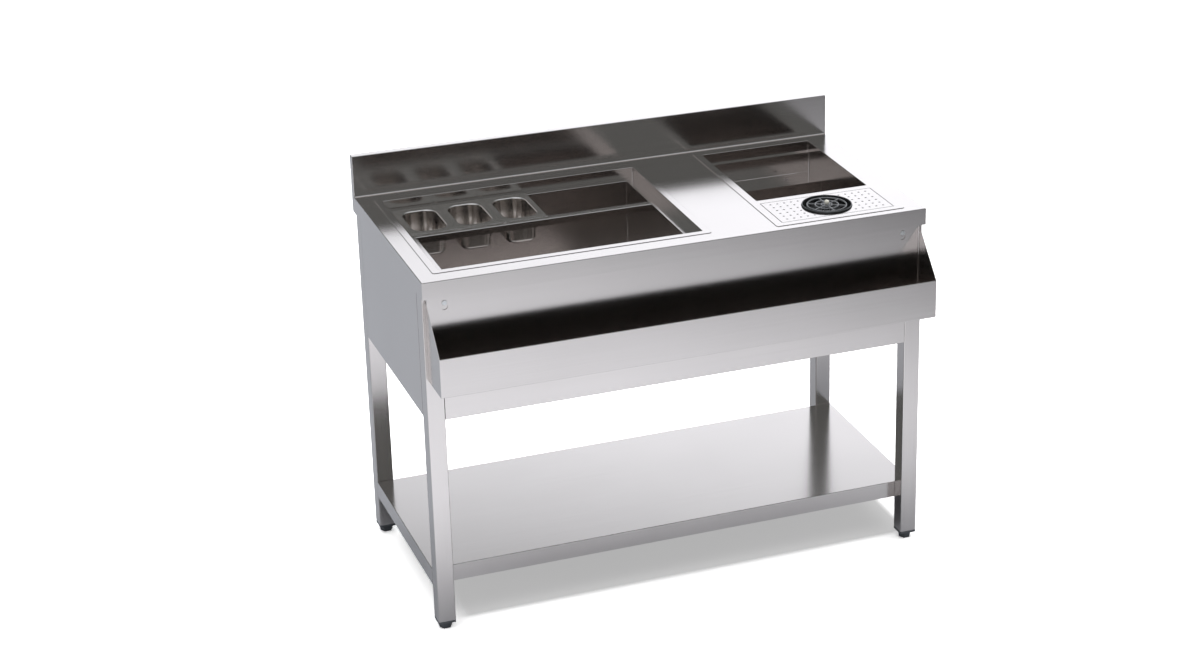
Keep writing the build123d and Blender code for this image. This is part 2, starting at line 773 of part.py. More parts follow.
def make_rinser_body():
    inner = rinser_radius - rinser_wall
    body = rod(rinser_x, rinser_y, (dish_floor - rinser_wall, rinser_rim), rinser_radius)
    body += rod(rinser_x, rinser_y, (pedestal_bottom, dish_floor), rinser_pedestal_radius)
    body += rod(rinser_x, rinser_y, (shank_bottom, pedestal_bottom), rinser_shank_radius)
    body -= rod(rinser_x, rinser_y, (dish_floor, rinser_rim + overcut), inner)
    body -= rod(rinser_x, rinser_y, (cavity_floor, dish_floor + overcut), rinser_cavity_radius)
    body -= rod(rinser_x, rinser_y, (shank_bottom - overcut, dish_floor), stem_radius + running_clearance)
    outlet = Pos(rinser_x, rinser_y, dish_floor) * Cylinder(rinser_outlet_radius, 2 * (rinser_wall + overcut))
    body -= [outlet.moved(spot) for spot in PolarLocations(rinser_outlet_circle, grille_spokes)]
    rim_edges = body.edges().filter_by(GeomType.CIRCLE).group_by(Axis.Z)[-1]
    return fillet(rim_edges, rinser_rim_radius)


def make_grille():
    z = (grille_bottom, grille_top)
    outer = rinser_radius - rinser_wall - grille_rim_gap
    body = ring(rinser_x, rinser_y, z, outer, outer - grille_ring_width)
    for radius in grille_ring_radii:
        half_ring = grille_ring_width / 2
        body += ring(rinser_x, rinser_y, z, radius + half_ring, radius - half_ring)
    body += rod(rinser_x, rinser_y, z, grille_hub_radius)
    spoke_reach = outer - grille_ring_width / 2
    spoke = block((0, spoke_reach), widen((0, 0), grille_spoke_width / 2), z)
    centre = Pos(rinser_x, rinser_y, 0)
    for spot in PolarLocations(0, grille_spokes, start_angle=180 / grille_spokes):
        body += centre * spot * spoke
    return fillet(body.faces().sort_by(Axis.Z)[-1].outer_wire().edges(), grille_edge_radius)


def make_nozzle():
    ball = Pos(rinser_x, rinser_y, grille_top + nozzle_radius - nozzle_sink) * Sphere(nozzle_radius)
    below = widen((0, 0), 2 * nozzle_radius)
    return ball - Pos(rinser_x, rinser_y, 0) * block(below, below, (grille_bottom, grille_top))


def make_spring():
    height = grille_bottom - cavity_floor - 2 * spring_wire_radius - 2 * seat_gap
    coil = Helix(height / spring_turns, height, spring_radius)
    wire = sweep(Plane(origin=coil @ 0, z_dir=coil % 0) * Circle(spring_wire_radius), path=coil)
    return Pos(rinser_x, rinser_y, cavity_floor + spring_wire_radius + seat_gap) * wire


def make_inlet():
    collar = (shank_bottom - inlet_collar, shank_bottom)
    nipple = (collar[0] - inlet_nipple_length, collar[0])
    body = hexagon(rinser_x, rinser_y, collar, inlet_across)
    body += rod(rinser_x, rinser_y, nipple, rinser_shank_radius)
    return body - rod(rinser_x, rinser_y, widen((nipple[0], collar[1]), overcut), inlet_bore_radius)


# Speed rail: a folded trough with two welded ends, hung by keyholes on headed studs
rail_top = fascia_bottom - rail_top_drop
rail_bottom = rail_top - rail_back_height
rail_back_face = front_face - seat_gap
rail_front_face = front_face - rail_depth
rail_x = widen((-half_width, half_width), -rail_end_inset)
keyhole_z = rail_top - keyhole_top_inset
stud_z = keyhole_z + keyhole_travel
stud_shank_radius = keyhole_slot_radius - seat_gap
keyhole_xs = widen(rail_x, -keyhole_end_inset)


def make_trough():
    back = (rail_back_face - sheet, rail_back_face)
    front = (rail_front_face, rail_front_face + sheet)
    run = widen(rail_x, -sheet)
    body = block(run, back, (rail_bottom, rail_top))
    body += block(run, front, (rail_bottom, rail_bottom + rail_front_height))
    body += block(run, (front[0], back[1]), (rail_bottom, rail_bottom + sheet))
    hem_top = rail_bottom + rail_front_height
    body += block(run, (front[1], front[1] + sheet), (hem_top - rail_hem, hem_top))
    lengthwise = body.edges().filter_by(Axis.X)
    body = fillet(lengthwise.group_by(Axis.Z)[0], fold_radius)
    lip_edges = body.edges().filter_by(Axis.X).filter_by_position(Axis.Z, hem_top, hem_top)
    body = fillet(lip_edges, rail_lip_radius)
    cut = widen(back, overcut)
    for x in keyhole_xs:
        body -= rod_along_y(x, cut, keyhole_z, keyhole_radius)
        body -= rod_along_y(x, cut, stud_z, keyhole_slot_radius)
        body -= block(widen((x, x), keyhole_slot_radius), cut, (keyhole_z, stud_z))
    return body


def make_rail_end(side):
    outline = Polyline(
        (rail_front_face, rail_bottom),
        (rail_back_face, rail_bottom),
        (rail_back_face, rail_top),
        (rail_front_face, rail_bottom + rail_front_height),
        close=True,
    )
    low_x = rail_x[0] if side < 0 else rail_x[1] - sheet
    return extrude(Plane.YZ.offset(low_x) * make_face(outline), sheet)


def rail_stud(x):
    """A headed stud: head in front of the rail's back plate, shank through it and the front panel."""
    head_back = rail_back_face - sheet - seat_gap
    body = rod_along_y(x, (head_back - rail_stud_head_height, head_back), stud_z, rail_stud_head_radius)
    body = fillet(body.edges().group_by(Axis.Y)[0], rail_stud_head_rounding)
    return body + rod_along_y(x, (head_back, front_face + rail_stud_reach), stud_z, stud_shank_radius)


def rail_nut(x):
    seat = front_face + sheet
    span = (seat, seat + rail_nut_height)
    body = hexagon_along_y(x, span, stud_z, rail_nut_across)
    return body - rod_along_y(x, widen(span, overcut), stud_z, stud_shank_radius + running_clearance)


def make_front_panel():
    run, place = panel_runs["front"]
    body = place * make_panel(run)
    span = widen((front_face, front_face + sheet), overcut)
    hole_radius = stud_shank_radius + running_clearance
    return body - [rod_along_y(x, span, stud_z, hole_radius) for x in keyhole_xs]


# All pieces by name
pieces = {"worktop": make_worktop()}
pieces.update(make_frame())
for name, (side, y) in corners.items():
    pieces["leg_" + name] = make_leg(side, y)
    pieces["leg_plug_" + name] = make_plug(side, y)
    pieces["foot_" + name] = make_foot(side, y)
pieces["front_panel"] = make_front_panel()
for name in ("rear", "left", "right"):
    run, place = panel_runs[name]
    pieces[name + "_panel"] = place * make_panel(run)
pieces["panel_rivets"] = Compound(children=make_rivets())
pieces["shelf"] = make_shelf()
pieces["shelf_stiffener"] = make_stiffener()
pieces["shelf_bolts"] = Compound(children=[shelf_bolt(*place) for place in shelf_bolt_places])
pieces["shelf_nuts"] = Compound(children=[shelf_nut(*place) for place in shelf_bolt_places])
pieces["ice_well_liner"] = make_liner()
pieces["ice_well_insulation"] = make_insulation()
pieces["ice_well_jacket"] = make_jacket()
pieces["ice_well_waste"] = make_well_waste()
well_gasket = gasket(well_drain_x, well_drain_y, well_floor, well_waste_radius)
sink_gasket = gasket(sink_drain_x, sink_drain_y, sink_floor, well_waste_radius)
pieces["drain_gaskets"] = Compound(children=[well_gasket, sink_gasket])
pieces["ice_well_strainer"] = make_strainer()
pieces["ice_well_nut"] = waste_nut(well_drain_x, well_drain_y, jacket_bottom, well_waste_radius)
pieces["pan_rail"] = make_pan_rail()
for index, name in enumerate(pan_names):
    pieces[name] = make_pan(index)
pieces["sink_deck"] = make_sink_deck()
pieces["sink_bowl"] = make_sink_bowl()
pieces["tray_recess"] = make_tray_recess()
pieces["sink_waste"] = waste(sink_drain_x, sink_drain_y, sink_floor, sink_floor - sheet, *large_waste_sizes)
pieces["sink_nut"] = waste_nut(sink_drain_x, sink_drain_y, sink_floor - sheet, well_waste_radius)
pieces["tray_waste"] = waste(recess_drain_x, rinser_y, recess_floor, recess_floor - sheet, *small_waste_sizes)
pieces["tray_gasket"] = gasket(recess_drain_x, rinser_y, recess_floor, tray_waste_radius)
pieces["tray_nut"] = waste_nut(recess_drain_x, rinser_y, recess_floor - sheet, tray_waste_radius)
pieces["drip_tray"] = make_drip_tray()
pieces["rinser_body"] = make_rinser_body()
pieces["rinser_gasket"] = gasket(rinser_x, rinser_y, recess_floor, rinser_shank_radius)
pieces["rinser_nut"] = waste_nut(rinser_x, rinser_y, recess_floor - sheet, rinser_shank_radius)
pieces["rinser_inlet"] = make_inlet()
pieces["rinser_grille"] = make_grille()
pieces["rinser_nozzle"] = make_nozzle()
pieces["rinser_stem"] = rod(rinser_x, rinser_y, (grille_bottom - stem_length, grille_bottom), stem_radius)
pieces["rinser_spring"] = make_spring()
pieces["speed_rail_trough"] = make_trough()
pieces["speed_rail_end_left"] = make_rail_end(-1)
pieces["speed_rail_end_right"] = make_rail_end(1)
pieces["rail_studs"] = Compound(children=[rail_stud(x) for x in keyhole_xs])
pieces["rail_stud_nuts"] = Compound(children=[rail_nut(x) for x in keyhole_xs])

os.makedirs("parts", exist_ok=True)
for name, piece in pieces.items():
    export_step(piece, f"parts/{name}.step")
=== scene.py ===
import json
import math

import bpy
from mathutils import Matrix, Vector


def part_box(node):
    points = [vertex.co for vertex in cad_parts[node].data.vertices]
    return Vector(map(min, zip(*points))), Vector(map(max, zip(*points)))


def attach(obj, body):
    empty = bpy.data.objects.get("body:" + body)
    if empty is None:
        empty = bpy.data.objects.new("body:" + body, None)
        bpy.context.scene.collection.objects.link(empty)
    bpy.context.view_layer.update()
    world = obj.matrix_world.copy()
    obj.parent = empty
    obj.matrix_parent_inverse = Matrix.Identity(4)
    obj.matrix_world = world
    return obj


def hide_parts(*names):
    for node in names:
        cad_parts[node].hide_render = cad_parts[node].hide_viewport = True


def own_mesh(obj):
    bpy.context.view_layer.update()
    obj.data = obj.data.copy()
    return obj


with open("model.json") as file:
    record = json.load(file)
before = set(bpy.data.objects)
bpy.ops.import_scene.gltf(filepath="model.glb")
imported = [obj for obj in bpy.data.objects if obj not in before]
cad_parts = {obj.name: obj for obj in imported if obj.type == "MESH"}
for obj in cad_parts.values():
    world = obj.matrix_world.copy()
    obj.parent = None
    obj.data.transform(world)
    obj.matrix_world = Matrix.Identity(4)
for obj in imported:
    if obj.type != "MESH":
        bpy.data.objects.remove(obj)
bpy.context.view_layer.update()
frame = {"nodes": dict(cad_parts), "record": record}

# Camera, fitted to the photo's corners (metres, degrees, pixels of a 1200 x 650 picture)
photo_width = 1200
photo_height = 650
camera_place = (-1.9254, -5.4147, 2.9919)
camera_azimuth = -22.7
camera_elevation = 22.58
focal_pixels = 2648
optical_centre = (778.7, 308.8)
sensor_width = 36.0

# Studio: a bright wall behind on the right, a dim room, and a lamp low on the camera's left
white = (1.0, 1.0, 1.0, 1)
bright_wall_heading = (0.57, 0.82, 0.0)
bright_wall_colour = (1.720, 1.785, 1.910, 1)
bright_wall_spread = (0.74, 1.0)
bright_wall_top = (0.442, 0.480)
side_lamp_heading = (-0.6, -0.8, 0.0)
side_lamp_spread = (0.62, 0.95)
side_lamp_top = (0.45, 0.65)
side_lamp_share = 0.4
dim_room_colour = (0.215, 0.235, 0.240, 1)
ceiling_rise = (0.62, 0.95)
ceiling_share = 0.48
lamp_strength = 2.45
lamp_fill = 0.3
lamp_edge = (0.72, 0.92)

# Floor: pale to the camera, with a painted shadow under the shelf, drawn over the shadow the lamps cast
floor_radius = 14.0
floor_sides = 96
floor_glow = 0.42
floor_gain = 1.6
shadow_gain = 0.35
shadow_edge = 0.012
shadow_left_inset = 0.065
shadow_left_edge = 0.03

# Floor as the steel mirrors it: a painted pool of light in front, painted shade as it nears the station, and an
# even floor beside and behind
pool_centre = (-0.6, -0.6)
pool_reach = 4.0
pool_stops = (
    (0.00, 1.24), (0.18, 1.22), (0.30, 1.13), (0.40, 0.98),
    (0.45, 0.85), (0.51, 0.71), (0.66, 0.38), (0.80, 0.18),
)
pool_tint = (1.094, 1.140, 1.223)
pool_shade_span = (-1.15, -0.28)
pool_shade_share = 0.72
side_floor_colour = (0.535, 0.566, 0.620, 1)
side_floor_edge = (-0.7, -0.1)

# Grain of the finishes
even = (1.0, 1.0, 1.0)
grain_detail = 5.0
grain_roughness = 0.6
cloud_scale = 3.5
cloud_detail = 2.0
cloud_roughness = 0.5
grain_share = 0.55
cloud_share = 0.45
tone_range = (0.3, 0.7)
gloss_range = (0.25, 0.75)
grain_height = 0.00006
grain_strength = 0.006
speck_detail = 4.0
speck_roughness = 0.6
speck_range = (0.3, 0.7)
speck_strength = 0.4

# Feet
foot_sides = 6
foot_height = 0.0157
foot_crown = 0.015 / math.cos(math.pi / foot_sides)
foot_base = 0.013 / math.cos(math.pi / foot_sides)
stud_radius = 0.005
stud_sides = 24
thread_depth = 0.0007
thread_pitch = 0.00125
thread_steps = 20
ridge_sides = 4
edge_bevel = 0.0007
bevel_steps = 2

# Rinser
grille_rings = {"outer": 0.0458, "middle": 0.027, "inner": 0.0125}
grille_ring_steps = 72
grille_hub = 0.008
grille_hub_sides = 32
grille_bar = 0.0018
grille_bar_sides = 12
grille_spokes = 6
spring_radius = 0.0076
spring_wire = 0.0007
spring_wire_sides = 12
spring_steps = 32
spring_turns = 5.0

# Speed rail
sheet_thickness = 0.0012
rail_front_height = 0.091
rail_hem = 0.010
bead_radius = 0.0016
bead_sides = 10
bead_inset = 0.0006
bead_top_gap = 0.002


def add_node(tree, kind, sockets=None, **settings):
    """Adds a node, makes its settings, and gives its sockets values or links."""
    made = tree.nodes.new(kind)
    for name, value in settings.items():
        setattr(made, name, value)
    for key, value in (sockets or {}).items():
        if isinstance(value, bpy.types.NodeSocket):
            tree.links.new(value, made.inputs[key])
        else:
            made.inputs[key].default_value = value
    return made


def shade(tree, kind, sockets=None, **settings):
    return add_node(tree, "ShaderNode" + kind, sockets, **settings)


def form(tree, kind, sockets=None, **settings):
    return add_node(tree, "GeometryNode" + kind, sockets, **settings)


def reckon(tree, kind, first, second):
    """The result of one sum on two numbers."""
    return shade(tree, "Math", {0: first, 1: second}, operation=kind).outputs[0]


def ease(tree, value, low, high, to_low=0.0, to_high=1.0):
    """A smooth step of a value from one range to another."""
    spots = {"Value": value, "From Min": low, "From Max": high, "To Min": to_low, "To Max": to_high}
    return shade(tree, "MapRange", spots, interpolation_type="SMOOTHSTEP").outputs["Result"]


def blend_colours(tree, factor, first, second):
    mixed = shade(tree, "Mix", {"Factor": factor}, data_type="RGBA")
    for value, socket in zip((first, second), [s for s in mixed.inputs if s.type == "RGBA"]):
        if isinstance(value, bpy.types.NodeSocket):
            tree.links.new(value, socket)
        else:
            socket.default_value = value
    return next(s for s in mixed.outputs if s.type == "RGBA")


# Finishes

def fresh_material(name):
    """An empty node material: the material, its tree and its output node."""
    material = bpy.data.materials.new(name)
    material.use_nodes = True
    tree = material.node_tree
    tree.nodes.clear()
    return material, tree, shade(tree, "OutputMaterial")


def grain_of(tree, stretch, scale, detail, roughness):
    """Noise drawn out along one axis, as a brushing belt leaves it."""
    place = shade(tree, "TexCoord").outputs["Object"]
    mapped = shade(tree, "Mapping", {"Vector": place, "Scale": stretch}).outputs["Vector"]
    noise = shade(tree, "TexNoise", {
        "Vector": mapped, "Scale": scale, "Detail": detail, "Roughness": roughness,
    })
    return noise.outputs["Fac"]


def close_material(tree, output, colour, metallic, gloss, bump):
    stuff = shade(tree, "BsdfPrincipled", {
        "Base Color": colour, "Metallic": metallic, "Roughness": gloss, "Normal": bump.outputs["Normal"],
    })
    tree.links.new(stuff.outputs[0], output.inputs["Surface"])


def brushed_steel(name, stretch, dark, pale, smooth, rough):
    """Satin stainless steel with its brushing along one axis."""
    material, tree, output = fresh_material(name)
    grain = grain_of(tree, stretch, 1.0, grain_detail, grain_roughness)
    cloud = grain_of(tree, even, cloud_scale, cloud_detail, cloud_roughness)
    tone = reckon(tree, "MULTIPLY", grain, grain_share)
    tone = shade(tree, "Math", {0: cloud, 1: cloud_share, 2: tone}, operation="MULTIPLY_ADD").outputs[0]
    colour = blend_colours(tree, ease(tree, tone, *tone_range), dark, pale)
    gloss = ease(tree, grain, *gloss_range, smooth, rough)
    bump = shade(tree, "Bump", {"Height": grain, "Strength": grain_strength, "Distance": grain_height})
    close_material(tree, output, colour, 1.0, gloss, bump)
    return material


def moulded(name, dark, pale, smooth, rough, pitch, depth, metallic=0.0):
    """Moulded or cast stuff: a fine texture in colour, gloss and height."""
    material, tree, output = fresh_material(name)
    speck = grain_of(tree, even, pitch, speck_detail, speck_roughness)
    colour = blend_colours(tree, speck, dark, pale)
    gloss = ease(tree, speck, *speck_range, smooth, rough)
    bump = shade(tree, "Bump", {"Height": speck, "Strength": speck_strength, "Distance": depth})
    close_material(tree, output, colour, metallic, gloss, bump)
    return material


steel_tones = ((0.548, 0.512, 0.491, 1), (0.584, 0.546, 0.525, 1))
pan_tones = ((0.74, 0.70, 0.67, 1), (0.80, 0.76, 0.73, 1))
sheet_gloss = (0.16, 0.175)
tube_gloss = (0.165, 0.19)
pan_gloss = (0.14, 0.20)
along_x = (2.5, 260.0, 260.0)
along_y = (260.0, 2.5, 260.0)
along_z = (260.0, 260.0, 2.5)
along_pan = (120.0, 120.0, 4.0)
sheet_x = brushed_steel("brushed_sheet_lengthwise", along_x, *steel_tones, *sheet_gloss)
sheet_y = brushed_steel("brushed_sheet_crosswise", along_y, *steel_tones, *sheet_gloss)
tube_x = brushed_steel("brushed_tube_lengthwise", along_x, *steel_tones, *tube_gloss)
tube_y = brushed_steel("brushed_tube_crosswise", along_y, *steel_tones, *tube_gloss)
tube_z = brushed_steel("brushed_tube_upright", along_z, *steel_tones, *tube_gloss)
pan_steel = brushed_steel("drawn_pan_steel", along_pan, *pan_tones, *pan_gloss)
nozzle_plastic = moulded(
    "cream_nozzle_plastic", (0.82, 0.80, 0.70, 1), (0.90, 0.88, 0.80, 1), 0.22, 0.30, 500.0, 0.00002
)
bright_metal = moulded(
    "polished_fitting", (0.76, 0.755, 0.75, 1), (0.82, 0.815, 0.81, 1), 0.06, 0.10, 180.0, 0.00002, 1.0
)
fastener_steel = moulded(
    "zinc_plated_steel", (0.60, 0.60, 0.60, 1), (0.72, 0.72, 0.71, 1), 0.24, 0.32, 400.0, 0.00004, 1.0
)
rivet_metal = moulded(
    "rivet_aluminium", (0.70, 0.70, 0.71, 1), (0.80, 0.80, 0.80, 1), 0.28, 0.36, 400.0, 0.00004, 1.0
)
foot_plastic = moulded(
    "black_foot_plastic", (0.075, 0.080, 0.086, 1), (0.10, 0.106, 0.114, 1), 0.42, 0.55, 900.0, 0.00006
)
rinser_plastic = moulded(
    "black_rinser_plastic", (0.022, 0.022, 0.023, 1), (0.034, 0.034, 0.035, 1), 0.26, 0.36, 700.0, 0.00004
)
grille_plastic = moulded(
    "grey_black_grille_plastic", (0.150, 0.154, 0.163, 1), (0.205, 0.210, 0.222, 1),
    0.26, 0.36, 700.0, 0.00004
)
nut_plastic = moulded(
    "grey_nut_plastic", (0.42, 0.42, 0.41, 1), (0.52, 0.52, 0.50, 1), 0.45, 0.55, 700.0, 0.00006
)
seal_rubber = moulded(
    "black_seal_rubber", (0.028, 0.028, 0.028, 1), (0.045, 0.045, 0.045, 1), 0.6, 0.75, 900.0, 0.00008
)
foam = moulded("rigid_foam", (0.66, 0.58, 0.36, 1), (0.82, 0.75, 0.54, 1), 0.85, 0.95, 260.0, 0.0006)

slot_finishes = {
    "stainless": sheet_x,
    "stainless_tube": tube_x,
    "pan_steel": pan_steel,
    "black_plastic": foot_plastic,
    "rinser_plastic": rinser_plastic,
    "nozzle_plastic": nozzle_plastic,
    "bright_metal": bright_metal,
    "nut_plastic": nut_plastic,
    "seal_rubber": seal_rubber,
    "foam": foam,
    "fastener_steel": fastener_steel,
    "rivet_aluminium": rivet_metal,
}
node_finishes = {
    "sink_waste": sheet_x,
    "left_panel": sheet_y,
    "right_panel": sheet_y,
    "speed_rail_end_left": sheet_y,
    "speed_rail_end_right": sheet_y,
    "frame_left": tube_y,
    "frame_right": tube_y,
    "frame_middle": tube_y,
    "leg_front_left": tube_z,
    "leg_front_right": tube_z,
    "leg_rear_left": tube_z,
    "leg_rear_right": tube_z,
}
for subpart in frame["record"]["subparts"]:
    slot_finish = slot_finishes[subpart["material_slot"]]
    finish = node_finishes.get(subpart["node"], slot_finish)
    for slot in frame["nodes"][subpart["node"]].material_slots:
        slot.material = finish


# Pieces that repeat or follow a path, grown by Geometry Nodes

def shape_tree(name, **sizes):
    """An empty Geometry Nodes tree with named inputs: the tree, its inputs and its output node."""
    tree = bpy.data.node_groups.new(name, "GeometryNodeTree")
    for label, kind in sizes.items():
        tree.interface.new_socket(label, in_out="INPUT", socket_type="NodeSocket" + kind)
    tree.interface.new_socket("finish", in_out="INPUT", socket_type="NodeSocketMaterial")
    tree.interface.new_socket("shape", in_out="OUTPUT", socket_type="NodeSocketGeometry")
    return tree, tree.nodes.new("NodeGroupInput").outputs, tree.nodes.new("NodeGroupOutput")


def close_tree(tree, given, output, shapes):
    joined = form(tree, "JoinGeometry")
    for shape in shapes:
        tree.links.new(shape, joined.inputs[0])
    real = form(tree, "RealizeInstances", {0: joined.outputs[0]})
    done = form(tree, "SetMaterial", {"Geometry": real.outputs[0], "Material": given["finish"]})
    tree.links.new(done.outputs[0], output.inputs[0])


def grown(name, tree, place, **values):
    """A plain mesh piece from a tree, with its place in its mesh."""
    maker = bpy.data.objects.new(name + "_maker", bpy.data.meshes.new(name + "_maker"))
    bpy.context.scene.collection.objects.link(maker)
    modifier = maker.modifiers.new("shape", "NODES")
    modifier.node_group = tree
    for item in tree.interface.items_tree:
        if item.in_out == "INPUT":
            modifier[item.identifier] = values[item.name]
    graph = bpy.context.evaluated_depsgraph_get()
    mesh = bpy.data.meshes.new_from_object(maker.evaluated_get(graph))
    bpy.data.objects.remove(maker)
    mesh.name = name
    mesh.transform(Matrix.Translation(place))
    piece = bpy.data.objects.new(name, mesh)
    bpy.context.scene.collection.objects.link(piece)
    return piece


def circle(tree, steps, radius):
    return form(tree, "CurvePrimitiveCircle", {"Resolution": steps, "Radius": radius}).outputs[0]


def spiral(tree, steps, turns, radius, height):
    return form(tree, "CurveSpiral", {
        "Resolution": steps, "Rotations": turns, "Start Radius": radius, "End Radius": radius, "Height": height,
    }).outputs[0]


def swept(tree, curve, profile):
    upright = form(tree, "SetCurveNormal", {"Curve": curve}, mode="Z_UP")
    path = {"Curve": upright.outputs[0], "Profile Curve": profile, "Fill Caps": True}
    return form(tree, "CurveToMesh", path).outputs[0]


def thread_tree():
    """A screw: a core with a ridge wound up it."""
    tree, given, output = shape_tree(
        "screw_thread", radius="Float", depth="Float", pitch="Float", length="Float"
    )
    core = reckon(tree, "SUBTRACT", given["radius"], given["depth"])
    turns = reckon(tree, "DIVIDE", given["length"], given["pitch"])
    helix = spiral(tree, thread_steps, turns, core, given["length"])
    wound = swept(tree, helix, circle(tree, ridge_sides, given["depth"]))
    rod = form(tree, "MeshCylinder", {"Vertices": stud_sides, "Radius": core, "Depth": given["length"]})
    lift = shade(tree, "CombineXYZ", {"Z": reckon(tree, "MULTIPLY", given["length"], 0.5)}).outputs[0]
    raised = form(tree, "Transform", {"Geometry": rod.outputs["Mesh"], "Translation": lift})
    close_tree(tree, given, output, [wound, raised.outputs[0]])
    return tree


def coil_tree():
    """A round wire wound up in even turns."""
    tree, given, output = shape_tree("wire_coil", radius="Float", wire="Float", turns="Float", height="Float")
    helix = spiral(tree, spring_steps, given["turns"], given["radius"], given["height"])
    wire = circle(tree, spring_wire_sides, given["wire"])
    close_tree(tree, given, output, [swept(tree, helix, wire)])
    return tree


def hexagon_tree():
    """A six-sided foot that widens upwards."""
    tree, given, output = shape_tree("hexagon_foot", base="Float", crown="Float", height="Float")
    cone = form(tree, "MeshCone", {
        "Vertices": foot_sides, "Radius Top": given["crown"], "Radius Bottom": given["base"],
        "Depth": given["height"],
    })
    close_tree(tree, given, output, [cone.outputs["Mesh"]])
    return tree


def grille_tree():
    """Round bars in rings and spokes about a hub."""
    tree, given, output = shape_tree(
        "rinser_grille", outer="Float", middle="Float", inner="Float", hub="Float", bar="Float",
        thickness="Float"
    )
    bar = circle(tree, grille_bar_sides, given["bar"])
    shapes = [swept(tree, circle(tree, grille_ring_steps, given[ring]), bar) for ring in grille_rings]
    start = shade(tree, "CombineXYZ", {"X": given["hub"]}).outputs[0]
    end = shade(tree, "CombineXYZ", {"X": given["outer"]}).outputs[0]
    spoke = form(tree, "CurvePrimitiveLine", {"Start": start, "End": end}).outputs[0]
    step = math.tau / grille_spokes
    number = form(tree, "InputIndex").outputs[0]
    turn = shade(tree, "Math", {0: number, 1: step, 2: step / 2}, operation="MULTIPLY_ADD").outputs[0]
    spots = form(tree, "MeshLine", {"Count": grille_spokes, "Offset": (0.0, 0.0, 0.0)}).outputs[0]
    spokes = form(tree, "InstanceOnPoints", {
        "Points": spots, "Instance": swept(tree, spoke, bar),
        "Rotation": shade(tree, "CombineXYZ", {"Z": turn}).outputs[0],
    })
    hub = form(tree, "MeshCylinder", {
        "Vertices": grille_hub_sides, "Radius": given["hub"], "Depth": given["thickness"],
    })
    close_tree(tree, given, output, shapes + [spokes.outputs[0], hub.outputs["Mesh"]])
    return tree


def bead_tree():
    """A weld bead down one corner, along the floor and up the other."""
    tree, given, output = shape_tree(
        "weld_bead", bead="Float", back_top="Vector", back_foot="Vector", front_foot="Vector",
        front_top="Vector"
    )
    bead = circle(tree, bead_sides, given["bead"])
    legs = (("back_top", "back_foot"), ("back_foot", "front_foot"), ("front_foot", "front_top"))
    runs = [form(tree, "CurvePrimitiveLine", {"Start": given[a], "End": given[b]}).outputs[0] for a, b in legs]
    close_tree(tree, given, output, [swept(tree, run, bead) for run in runs])
    return tree


def make_feet():
    hexagon = hexagon_tree()
    thread = thread_tree()
    for corner in ("front_left", "front_right", "rear_left", "rear_right"):
        name = "foot_" + corner
        low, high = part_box(name)
        x = (low.x + high.x) / 2
        y = (low.y + high.y) / 2
        base = grown(name + "_hexagon", hexagon, (x, y, 0.0), base=foot_base, crown=foot_crown,
                     height=foot_height, finish=foot_plastic)
        bevel = base.modifiers.new("worn_edges", "BEVEL")
        bevel.width = edge_bevel
        bevel.segments = bevel_steps
        stud_length = high.z - foot_height - thread_depth
        stud = grown(name + "_stud", thread, (x, y, foot_height), radius=stud_radius, depth=thread_depth,
                     pitch=thread_pitch, length=stud_length, finish=fastener_steel)
        for piece, slot_name in ((base, "black_plastic"), (stud, "fastener_steel")):
            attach(piece, name)
        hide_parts(name)


def make_grille():
    low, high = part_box("rinser_grille")
    centre = (low + high) / 2
    grille = grown("rinser_grille_bars", grille_tree(), centre, **grille_rings, hub=grille_hub,
                   bar=grille_bar, thickness=high.z - low.z, finish=grille_plastic)
    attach(grille, "rinser_press")
    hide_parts("rinser_grille")


def make_spring():
    low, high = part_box("rinser_spring")
    length = high.z - low.z
    foot = ((low.x + high.x) / 2, (low.y + high.y) / 2, low.z + spring_wire)
    coil = grown("rinser_spring_coil", coil_tree(), foot, radius=spring_radius, wire=spring_wire,
                 turns=spring_turns, height=length - 2 * spring_wire, finish=fastener_steel)
    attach(coil, "station")
    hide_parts("rinser_spring")
    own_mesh(coil)


def make_rail_beads():
    low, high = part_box("speed_rail_trough")
    tree = bead_tree()
    floor = low.z + sheet_thickness + bead_inset
    back = high.y - sheet_thickness - bead_inset
    front = low.y + sheet_thickness + bead_inset
    back_top = high.z - bead_top_gap
    front_top = low.z + rail_front_height - rail_hem
    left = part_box("speed_rail_end_left")[1].x + bead_inset
    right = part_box("speed_rail_end_right")[0].x - bead_inset
    for side, x in (("left", left), ("right", right)):
        bead = grown("speed_rail_weld_" + side, tree, (0.0, 0.0, 0.0), bead=bead_radius, finish=tube_z,
                     back_top=(x, back, back_top), back_foot=(x, back, floor),
                     front_foot=(x, front, floor), front_top=(x, front, front_top))
        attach(bead, "speed_rail")


make_feet()
make_grille()
make_spring()
make_rail_beads()


# Studio

def facing_share(tree, level, heading):
    return shade(tree, "VectorMath", {0: level, 1: heading}, operation="DOT_PRODUCT").outputs["Value"]


